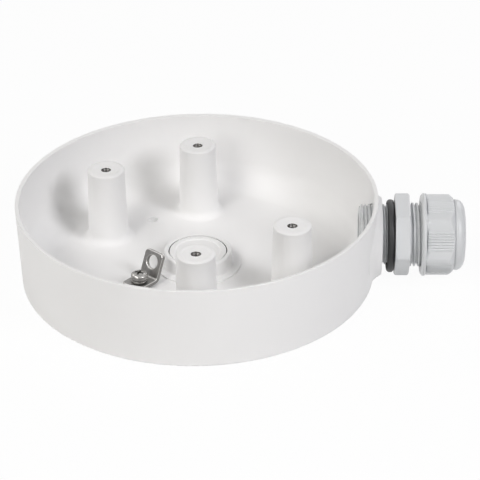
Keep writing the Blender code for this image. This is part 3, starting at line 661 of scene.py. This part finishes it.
rise = Vector((math.sin(TAB_LEAN), math.cos(TAB_LEAN))) * TAB_LENGTH
lower = bend(BEND_INSIDE + BRACKET_THICKNESS)
upper = bend(BEND_INSIDE)
tip_low = (lower[-1][0] + rise.x, lower[-1][1] + rise.y)
tip_high = (upper[-1][0] + rise.x, upper[-1][1] + rise.y)
tail = [(-TAIL_REACH, BRACKET_TOP), (-TAIL_REACH, BRACKET_BOTTOM)]
side_view = [*tail, *lower, tip_low, tip_high, *upper[::-1]]
bm = bmesh.new()
edge_face = bm.faces.new([bm.verts.new((x, -BRACKET_WIDTH / 2, z)) for x, z in side_view])
lifted = bmesh.ops.extrude_face_region(bm, geom=[edge_face])["geom"]
raised = [item for item in lifted if isinstance(item, bmesh.types.BMVert)]
bmesh.ops.translate(bm, verts=raised, vec=(0, BRACKET_WIDTH, 0))
nearby = 0.0011
for end, size in ((-TAIL_REACH, TAIL_CORNER), (tip_low[0], TAB_CORNER)):
    corners = []
    for item in bm.edges:
        first, second = item.verts
        level = abs(first.co.y - second.co.y) < 1e-6
        near = abs((first.co.x + second.co.x) / 2 - end) < nearby
        if level and near and abs(item.calc_length() - BRACKET_THICKNESS) < 1e-5:
            corners.append(item)
    bmesh.ops.bevel(bm, geom=corners, offset=size, segments=8, profile=0.5, affect="EDGES")
bm.transform(TERMINAL)
bracket = cleaned("earth_bracket", settled("earth_bracket", bm))
screw_way = [(0, 0), (EARTH_HOLE_RADIUS, 0), (EARTH_HOLE_RADIUS, THROUGH_TAIL), (0, THROUGH_TAIL)]
combine(bracket, revolved("screw_way", screw_way, 48, TERMINAL))
hole_x = tip_low[0] - TAB_HOLE_FROM_TOP * math.sin(TAB_LEAN)
hole_z = tip_low[1] - TAB_HOLE_FROM_TOP * math.cos(TAB_LEAN)
lean = Matrix.Rotation(TAB_LEAN - math.pi / 2, 4, "Y")
across_tab = TERMINAL @ Matrix.Translation((hole_x, 0, hole_z)) @ lean
before, behind = THROUGH_TAB
lead_way = [(0, before), (TAB_HOLE_RADIUS, before), (TAB_HOLE_RADIUS, behind), (0, behind)]
combine(bracket, revolved("lead_way", lead_way, 72, across_tab))
# The bevel's faces take the second material, which is the painted edge highlight.
broken_edges(bracket, width=0.00022, segments=3, limit=50, material=1)
fitted(bracket, plated_steel, "box", "dark_steel", "ground_bracket", crease=40)
bracket.data.materials.append(edge_highlight_finish)


# The earth screw is a plated pan head with a cross recess, over a split spring washer that is coiled
# like a single turn of thread.

WASHER_LOW, WASHER_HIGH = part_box("ground_lock_washer")
SCREW_LOW, SCREW_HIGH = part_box("ground_screw")
HEAD_BOTTOM = WASHER_HIGH.z + 0.0003
HEAD_RADIUS = 0.0034
HEAD_EDGE = 0.0002
HEAD_FLAT = 0.0009
HEAD_STEPS = 12
SHANK_RADIUS = 0.00195
SHANK_EDGE = 0.0005
CROSS = (0.0018, 0.00045)
CROSS_DEPTH = 0.0013
CROSS_TURN = math.radians(20)
WASHER_RADIUS = 0.00335
WASHER_THICKNESS = 0.0009
WASHER_EDGE = 0.0002
WASHER_BORE_EDGE = 0.0001
WASHER_CLIMB = 0.00016
WASHER_GAP = 4
WASHER_STEPS = 72

bright_steel, port = new_finish("bright plated screw")
brushed = port.noise(1900.0, 3.0)
port.surface(
    Base_Color=port.between((0.18, 0.175, 0.17), (0.50, 0.49, 0.47), brushed),
    Metallic=1.0,
    Roughness=0.16 + 0.16 * brushed,
)

side_top = (HEAD_BOTTOM + SCREW_HIGH.z) / 2
screw_face = [
    (0, SCREW_LOW.z),
    (SHANK_RADIUS - SHANK_EDGE, SCREW_LOW.z),
    (SHANK_RADIUS, SCREW_LOW.z + SHANK_EDGE),
    (SHANK_RADIUS, HEAD_BOTTOM),
    (HEAD_RADIUS - HEAD_EDGE, HEAD_BOTTOM),
    (HEAD_RADIUS, HEAD_BOTTOM + HEAD_EDGE),
]
for step in range(HEAD_STEPS + 1):
    angle = math.pi / 2 * step / HEAD_STEPS
    radius = HEAD_FLAT + (HEAD_RADIUS - HEAD_FLAT) * math.cos(angle)
    screw_face.append((radius, side_top + (SCREW_HIGH.z - side_top) * math.sin(angle)))
screw_face.append((0, SCREW_HIGH.z))
screw = revolved("earth_screw", screw_face, 96, TERMINAL)
low = (-CROSS[0], -CROSS[1], SCREW_HIGH.z - CROSS_DEPTH)
high = (CROSS[0], CROSS[1], SCREW_HIGH.z + THROUGH)
for turn in (0, math.pi / 2):
    there = TERMINAL @ Matrix.Rotation(CROSS_TURN + turn, 4, "Z")
    combine(screw, slab("cross", low, high, there))
broken_edges(screw, width=0.00012, segments=2, limit=55)
fitted(screw, bright_steel, "box", "bright_steel", "ground_screw")

section = rounded(
    [
        (EARTH_HOLE_RADIUS, 0, WASHER_BORE_EDGE),
        (WASHER_RADIUS, 0, WASHER_EDGE),
        (WASHER_RADIUS, WASHER_THICKNESS, WASHER_EDGE),
        (EARTH_HOLE_RADIUS, WASHER_THICKNESS, WASHER_BORE_EDGE),
    ],
    steps=3,
)
bm = bmesh.new()
rows = []
for step in range(WASHER_STEPS + 1):
    angle = math.radians(WASHER_GAP + (360 - 2 * WASHER_GAP) * step / WASHER_STEPS)
    climb = WASHER_LOW.z + WASHER_CLIMB * (step / WASHER_STEPS - 0.5)
    x, y = math.cos(angle), math.sin(angle)
    rows.append([bm.verts.new((radius * x, radius * y, climb + up)) for radius, up in section])
for first, second in zip(rows, rows[1:]):
    for here in range(len(section)):
        beside = (here + 1) % len(section)
        bm.faces.new((first[here], first[beside], second[beside], second[here]))
bm.faces.new(rows[0])
bm.faces.new(rows[-1][::-1])
bm.transform(TERMINAL)
washer = cleaned("earth_spring_washer", settled("earth_spring_washer", bm))
fitted(washer, bright_steel, "box", "bright_steel", "ground_lock_washer", crease=50)


# The gland's body is moulded in light grey nylon. An entry thread goes into the box, a hexagon flange
# takes the spanner, and the nut winds on to the compression thread, which ends in twelve claws.

BODY_LOW, BODY_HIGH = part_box("gland_body")
NUT_LOW, NUT_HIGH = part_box("gland_nut")
GASKET_LOW, GASKET_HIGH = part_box("gland_gasket")
ENTRY_START = BODY_LOW.x
ENTRY_FACE = 0.0110
ENTRY_TIP = 0.0114
ENTRY_EDGE = 0.0001
ENTRY_RADIUS = 0.0124
ENTRY_PITCH = 0.0015
ENTRY_DEPTH = 0.00085
ENTRY_STEPS = 101
FLANGE_START = GASKET_HIGH.x + 0.0003
FLANGE_END = FLANGE_START + 0.0060
FLANGE_FLATS = 0.0149
FLANGE_CORNERS = 0.0170
FLANGE_TURN = math.radians(37.0)
FLANGE_BACK = FLANGE_CORNERS - 0.0006
FLANGE_EDGE = 0.0002
FLANGE_STEPS = 24
COMPRESSION_RADIUS = 0.0131
COMPRESSION_END = FLANGE_END + 0.0081
COMPRESSION_ROOT = 0.0126
COMPRESSION_TIP = 0.0124
COMPRESSION_PITCH = 0.0017
COMPRESSION_DEPTH = 0.0011
COMPRESSION_FORM = (0.36, 0.34)
COMPRESSION_STEPS = 72
SEAL_SEAT = 0.0102
SEAL_SEAT_START = FLANGE_END + 0.00105
GLAND_BORE = 0.0086
CLAWS = 12
CLAW_ROOT = (0.0123, 0.0124)
CLAW_TIP = (0.0108, 0.0107)
CLAW_GAP = 0.0010
CLAW_GAP_START = COMPRESSION_END + 0.0005
CLAW_GAP_LENGTH = 0.04

grey_nylon, port = new_finish("light grey nylon")
mould = port.noise(700.0, 3.0)
sheen = port.noise(60.0, 2.0)
port.surface(
    Base_Color=port.between((0.62, 0.635, 0.645), (0.66, 0.67, 0.68), sheen),
    Roughness=0.27 + 0.12 * mould,
    Normal=port.bump(mould, 0.00002, 0.35),
)


def hexagon(turns, flats, turn):
    """Radius of a hexagon at each angle, with its corners eased."""
    facing_away = 0.4
    sides = []
    for side in range(6):
        facing = np.cos(turns - turn - math.tau * (side + 0.5) / 6)
        sides.append(flats / np.maximum(facing, facing_away))
    return least(*sides)


body_sides = 320
turns = np.linspace(0, math.tau, body_sides, endpoint=False)
rings = [(GLAND_BORE, ENTRY_START), (ENTRY_FACE, ENTRY_START), (ENTRY_TIP, ENTRY_START + ENTRY_EDGE)]
entry_length = FLANGE_START - 0.0001 - ENTRY_START - ENTRY_EDGE
for step in range(1, ENTRY_STEPS + 1):
    station = ENTRY_START + ENTRY_EDGE + entry_length * step / ENTRY_STEPS
    thread = ENTRY_RADIUS - ENTRY_DEPTH * ridge(station, turns, ENTRY_PITCH)
    rings.append((np.minimum(thread, ENTRY_TIP + (station - ENTRY_START)), station))
flange_hexagon = hexagon(turns, FLANGE_FLATS, FLANGE_TURN)
flange_face = np.minimum(flange_hexagon, FLANGE_BACK) - FLANGE_EDGE
rings += [(ENTRY_RADIUS, FLANGE_START), (flange_face, FLANGE_START)]
for step in range(FLANGE_STEPS + 1):
    station = FLANGE_START + (FLANGE_END - FLANGE_START) * step / FLANGE_STEPS
    inset = min(station - FLANGE_START, FLANGE_END - station)
    chamfer = min(FLANGE_BACK + inset, FLANGE_CORNERS)
    rounding = FLANGE_EDGE * (1 - math.sqrt(1 - (1 - min(inset / FLANGE_EDGE, 1)) ** 2))
    rings.append((least(flange_hexagon, chamfer + 0 * turns) - rounding, station))
rings += [(flange_face, FLANGE_END), (COMPRESSION_ROOT, FLANGE_END)]
for step in range(1, COMPRESSION_STEPS + 1):
    station = FLANGE_END + (COMPRESSION_END - FLANGE_END) * step / COMPRESSION_STEPS
    depth = COMPRESSION_DEPTH * ridge(station, turns, COMPRESSION_PITCH, *COMPRESSION_FORM)
    narrowed = COMPRESSION_TIP + (COMPRESSION_END - station)
    rings.append((np.minimum(COMPRESSION_RADIUS - depth, narrowed), station))
rings += [(SEAL_SEAT, COMPRESSION_END), (SEAL_SEAT, SEAL_SEAT_START), (GLAND_BORE, SEAL_SEAT_START)]
gland_body = revolved("gland_threaded_body", rings, body_sides, GLAND_AXIS, looped=True)
fitted(gland_body, grey_nylon, "box", "grey_nylon", "gland_body", crease=40)

claw_profile = [
    (SEAL_SEAT, COMPRESSION_END - 0.0001),
    (CLAW_ROOT[0], COMPRESSION_END - 0.0001),
    (CLAW_ROOT[1], COMPRESSION_END + 0.0002),
    (CLAW_TIP[0], BODY_HIGH.x - 0.0001),
    (CLAW_TIP[1], BODY_HIGH.x),
    (SEAL_SEAT, BODY_HIGH.x),
]
claws = revolved("gland_claws", claw_profile, 96, GLAND_AXIS, looped=True)
low = (-CLAW_GAP_LENGTH / 2, -CLAW_GAP / 2, CLAW_GAP_START)
high = (CLAW_GAP_LENGTH / 2, CLAW_GAP / 2, BODY_HIGH.x + THROUGH)
for number in range(CLAWS // 2):
    there = GLAND_AXIS @ Matrix.Rotation(math.tau * number / CLAWS, 4, "Z")
    combine(claws, slab("claw_gap", low, high, there))
fitted(claws, grey_nylon, "box", "grey_nylon")


# A rubber washer hangs loose on the entry thread behind the flange, and a rubber sleeve inside the nut
# is what the claws press on to the cable.

GASKET_INSIDE = 0.0134
GASKET_OUTSIDE = (GASKET_HIGH.z - GASKET_LOW.z) / 2
GASKET_HEIGHT = (GASKET_HIGH.z + GASKET_LOW.z) / 2
GASKET_BORE_EDGE = 0.0003
GASKET_BACK_EDGE = 0.0013
GASKET_FRONT_EDGE = 0.0011
SEAL_INSIDE = 0.0080
SEAL_OUTSIDE = (GLAND_HIGH.z - GLAND_LOW.z) / 2
SEAL_BACK_EDGE = 0.0003
SEAL_FRONT_EDGE = 0.0004
SEAL_MOUTH_EDGE = 0.0006

gasket_axis = Matrix.Translation((0, 0, GASKET_HEIGHT - GLAND_HEIGHT)) @ GLAND_AXIS
gasket_section = rounded(
    [
        (GASKET_INSIDE, GASKET_LOW.x, GASKET_BORE_EDGE),
        (GASKET_OUTSIDE, GASKET_LOW.x, GASKET_BACK_EDGE),
        (GASKET_OUTSIDE, GASKET_HIGH.x, GASKET_FRONT_EDGE),
        (GASKET_INSIDE, GASKET_HIGH.x, GASKET_BORE_EDGE),
    ],
    steps=6,
)
gasket = revolved("gland_washer", gasket_section, 160, gasket_axis, looped=True)
fitted(gasket, black_rubber, "box", "black_rubber", "gland_gasket", crease=80)

seal_section = rounded(
    [
        (SEAL_INSIDE, GLAND_LOW.x, SEAL_BACK_EDGE),
        (SEAL_OUTSIDE, GLAND_LOW.x, SEAL_BACK_EDGE),
        (SEAL_OUTSIDE, GLAND_HIGH.x, SEAL_FRONT_EDGE),
        (SEAL_INSIDE, GLAND_HIGH.x, SEAL_MOUTH_EDGE),
    ],
    steps=5,
)
seal = revolved("gland_sleeve", seal_section, 128, GLAND_AXIS, looped=True)
fitted(seal, black_rubber, "seal", "black_rubber", "gland_seal", crease=80)


# The sealing nut is moulded in the same nylon. A round collar leads on to a hexagon grip, each side of
# which has a ribbed band, and a groove parts the grip from the domed mouth.

NUT_START = NUT_LOW.x
NUT_END = NUT_HIGH.x
NUT_FLATS = 0.0150
NUT_CORNERS = 0.0170
NUT_TURN = math.radians(41.0)
NUT_BORE = 0.0134
BORE_EDGE = 0.0002
COLLAR_FRONT = ((0.0010, 0), (0.0007, 0.00015), (0.00012, 0.0007), (0, 0.0010))
COLLAR_BACK = ((0, 0.0003), (0.00008, 0.0001), (0.0002, 0.00002))
GRIP_START = NUT_START + 0.0018
GRIP_END = GRIP_START + 0.01135
GRIP_CORNERS = NUT_CORNERS - 0.0002
GRIP_CHAMFER = 0.0019
GRIP_STEPS = 40
GRIP_CROWDING = 0.6
UNDERCUT = 0.0005
UNDERCUT_FADE = 0.0012
UNDERCUT_LENGTH = 0.0003
RIBS = 7
RIB_PITCH = 0.00115
RIB_RISE = 0.0004
RIB_FOOT = 0.00044
RIB_FLANK = 0.00036
RIBS_START = 0.0005
DOME_START = GRIP_END + 0.0006
DOME_RADIUS = 0.0145
DOME_EDGE = 0.0001
DOME_GROOVE = ((0.0144, GRIP_END + 0.00005), (0.0142, GRIP_END + 0.00015))
CROWN = 0.0034
CROWN_STEPS = 12
MOUTH_RADIUS = 0.0092
MOUTH_LAND = 0.0008
MOUTH_EDGE = ((0.0006, 0), (0.0002, 0.0002), (0, 0.0006))
LIP = NUT_END - 0.0034
SEAT_DEPTH = 0.0012
CONE_DEPTH = 0.0044

nut_sides = 1080
turns = np.linspace(0, math.tau, nut_sides, endpoint=False)
plain_hexagon = hexagon(turns, NUT_FLATS, NUT_TURN)
from_flat = np.mod(turns - NUT_TURN, math.tau / 6) - math.tau / 12
along_flat = NUT_FLATS * np.tan(from_flat)
in_band = np.abs(along_flat) < RIBS * RIB_PITCH / 2
from_rib = np.abs(np.mod(along_flat / RIB_PITCH + RIBS / 2, 1) - 0.5) * RIB_PITCH
swell = np.clip((RIB_FOOT - from_rib) / RIB_FLANK, 0, 1)
ribs = in_band * RIB_RISE * swell * swell * (3 - 2 * swell)
fade = np.clip(1 - (plain_hexagon - NUT_FLATS) / UNDERCUT_FADE, 0, 1)
undercut = plain_hexagon - UNDERCUT * fade

rings = [(NUT_BORE, NUT_START + BORE_EDGE), (NUT_BORE + BORE_EDGE, NUT_START)]
rings += [(NUT_CORNERS - inset, NUT_START + out) for inset, out in COLLAR_FRONT]
rings += [(NUT_CORNERS - inset, GRIP_START - back) for inset, back in COLLAR_BACK]
rings += [(undercut, GRIP_START), (undercut, GRIP_START + UNDERCUT_LENGTH)]
ribs_length = GRIP_END - GRIP_START - RIBS_START
for step in range(GRIP_STEPS + 1):
    station = GRIP_START + RIBS_START + ribs_length * (step / GRIP_STEPS) ** GRIP_CROWDING
    chamfer = min(GRIP_CORNERS, NUT_CORNERS - GRIP_CHAMFER + GRIP_END - station)
    rings.append((least(plain_hexagon + ribs, chamfer + 0 * turns), station))
rings += [*DOME_GROOVE, (DOME_GROOVE[1][0], DOME_START - DOME_EDGE)]
rings += [(DOME_RADIUS - DOME_EDGE, DOME_START), (DOME_RADIUS, DOME_START + DOME_EDGE)]
crown_reach = DOME_RADIUS - MOUTH_RADIUS - MOUTH_LAND
for step in range(CROWN_STEPS + 1):
    angle = math.pi / 2 * step / CROWN_STEPS
    radius = DOME_RADIUS - crown_reach * (1 - math.cos(angle))
    rings.append((radius, NUT_END - CROWN + CROWN * math.sin(angle)))
rings += [(MOUTH_RADIUS + out, NUT_END - back) for out, back in MOUTH_EDGE]
rings += [(MOUTH_RADIUS, LIP), (SEAL_SEAT, LIP), (SEAL_SEAT, LIP - SEAT_DEPTH)]
rings += [(NUT_BORE, LIP - CONE_DEPTH)]
nut = revolved("gland_sealing_nut", rings, nut_sides, GLAND_AXIS, looped=True)
fitted(nut, grey_nylon, "nut", "grey_nylon", "gland_nut", crease=50)


# The studio is a plain white paper floor, with soft lamps on both sides and behind. The camera has the
# photograph's place: a long lens, a little right of the front and looking down on the box.

DISTANCE = 0.8337
LOOK_DOWN = math.radians(31.27)
LOOK_ASIDE = math.radians(3.0)
PAN = math.radians(1.211)
TILT = math.radians(0.804)
ROLL = math.radians(-1.18)
FLOOR_SIZE = 3
FLOOR_GAP = 0.0002
FLOOR_GLOW = 0.15
FLOOR_GLOW_SEEN = 0.95
LAMP_DISTANCE = 0.9
WARM = (1.0, 0.985, 0.96)
COOL = (0.985, 0.98, 1.0)


def swung(first, second, angle):
    """Two directions at right angles, with the first swung towards the second."""
    cosine, sine = math.cos(angle), math.sin(angle)
    return first * cosine + second * sine, second * cosine - first * sine


def looked_at(port):
    """1 for what the camera sees, also in a mirror or through glass, and 0 for light on its way."""
    path = port.node("ShaderNodeLightPath", out="Is Camera Ray")
    mirrored = port.node("ShaderNodeLightPath", out="Is Glossy Ray")
    passed = port.node("ShaderNodeLightPath", out="Is Transmission Ray")
    return path + mirrored + passed


def softbox(name, colour, power, azimuth, elevation, size):
    """A square lamp that looks at the box from its side of the studio."""
    lamp = bpy.data.lights.new(name, "AREA")
    lamp.color = colour
    lamp.energy = power
    lamp.size = size
    around, above = math.radians(azimuth), math.radians(elevation)
    flat = math.cos(above)
    spot = Vector((math.sin(around) * flat, -math.cos(around) * flat, math.sin(above))) * LAMP_DISTANCE
    facing = spot.to_track_quat("Z", "Y").to_matrix().to_4x4()
    placed(name, lamp).matrix_world = Matrix.Translation(spot) @ facing


ahead = Vector((-math.sin(LOOK_ASIDE), math.cos(LOOK_ASIDE), 0))
right = Vector((math.cos(LOOK_ASIDE), math.sin(LOOK_ASIDE), 0))
up = Vector((0, 0, 1))
place = (up * math.sin(LOOK_DOWN) - ahead * math.cos(LOOK_DOWN)) * DISTANCE
forward = ahead * math.cos(LOOK_DOWN) - up * math.sin(LOOK_DOWN)
upward = right.cross(forward)
forward, right = swung(forward, right, PAN)
forward, upward = swung(forward, upward, TILT)
right, upward = swung(right, upward, ROLL)
lens = bpy.data.cameras.new("camera")
lens.sensor_width = 36
lens.lens = 150
camera = placed("camera", lens)
axes = Matrix((right, upward, -forward)).transposed().to_4x4()
camera.matrix_world = Matrix.Translation(place) @ axes
bpy.context.scene.camera = camera

paper, port = new_finish("white paper floor")
lit = port.node("ShaderNodeBsdfDiffuse", {}, {"Color": (0.88, 0.88, 0.88, 1)})
shown = port.node("ShaderNodeEmission", {}, {"Color": (1, 1, 1, 1), "Strength": 1.0})
glow = FLOOR_GLOW + looked_at(port) * (FLOOR_GLOW_SEEN - FLOOR_GLOW)
blend = port.node("ShaderNodeMixShader", {}, {0: glow, 1: lit, 2: shown})
port.node("ShaderNodeOutputMaterial", {}, {"Surface": blend})
bm = bmesh.new()
bmesh.ops.create_grid(bm, x_segments=1, y_segments=1, size=FLOOR_SIZE)
bmesh.ops.translate(bm, verts=bm.verts, vec=(0, 0, -FLOOR_GAP))
floor = placed("floor", settled("floor", bm))
floor.data.materials.append(paper)

world = bpy.data.worlds.new("studio")
world.use_nodes = True
world.node_tree.nodes.clear()
port = Port(world.node_tree)
sky = port.node("ShaderNodeBackground", {}, {"Color": (1, 1, 1, 1), "Strength": looked_at(port)})
port.node("ShaderNodeOutputWorld", {}, {"Surface": sky})
bpy.context.scene.world = world

softbox("left key", WARM, 2.0, -40, 49, 0.3)
softbox("front lamp", WARM, 1.5, -26, 29, 0.3)
softbox("left high lamp", WARM, 1.0, -80, 58, 0.3)
softbox("back left lamp", WARM, 1.4, -120, 30, 0.5)
softbox("right key", COOL, 3.15, 53, 37, 0.3)
softbox("right high lamp", COOL, 0.8, 62, 58, 0.3)
softbox("back right lamp", COOL, 1.6, 150, 28, 0.5)

bpy.context.scene.view_settings.view_transform = "Standard"
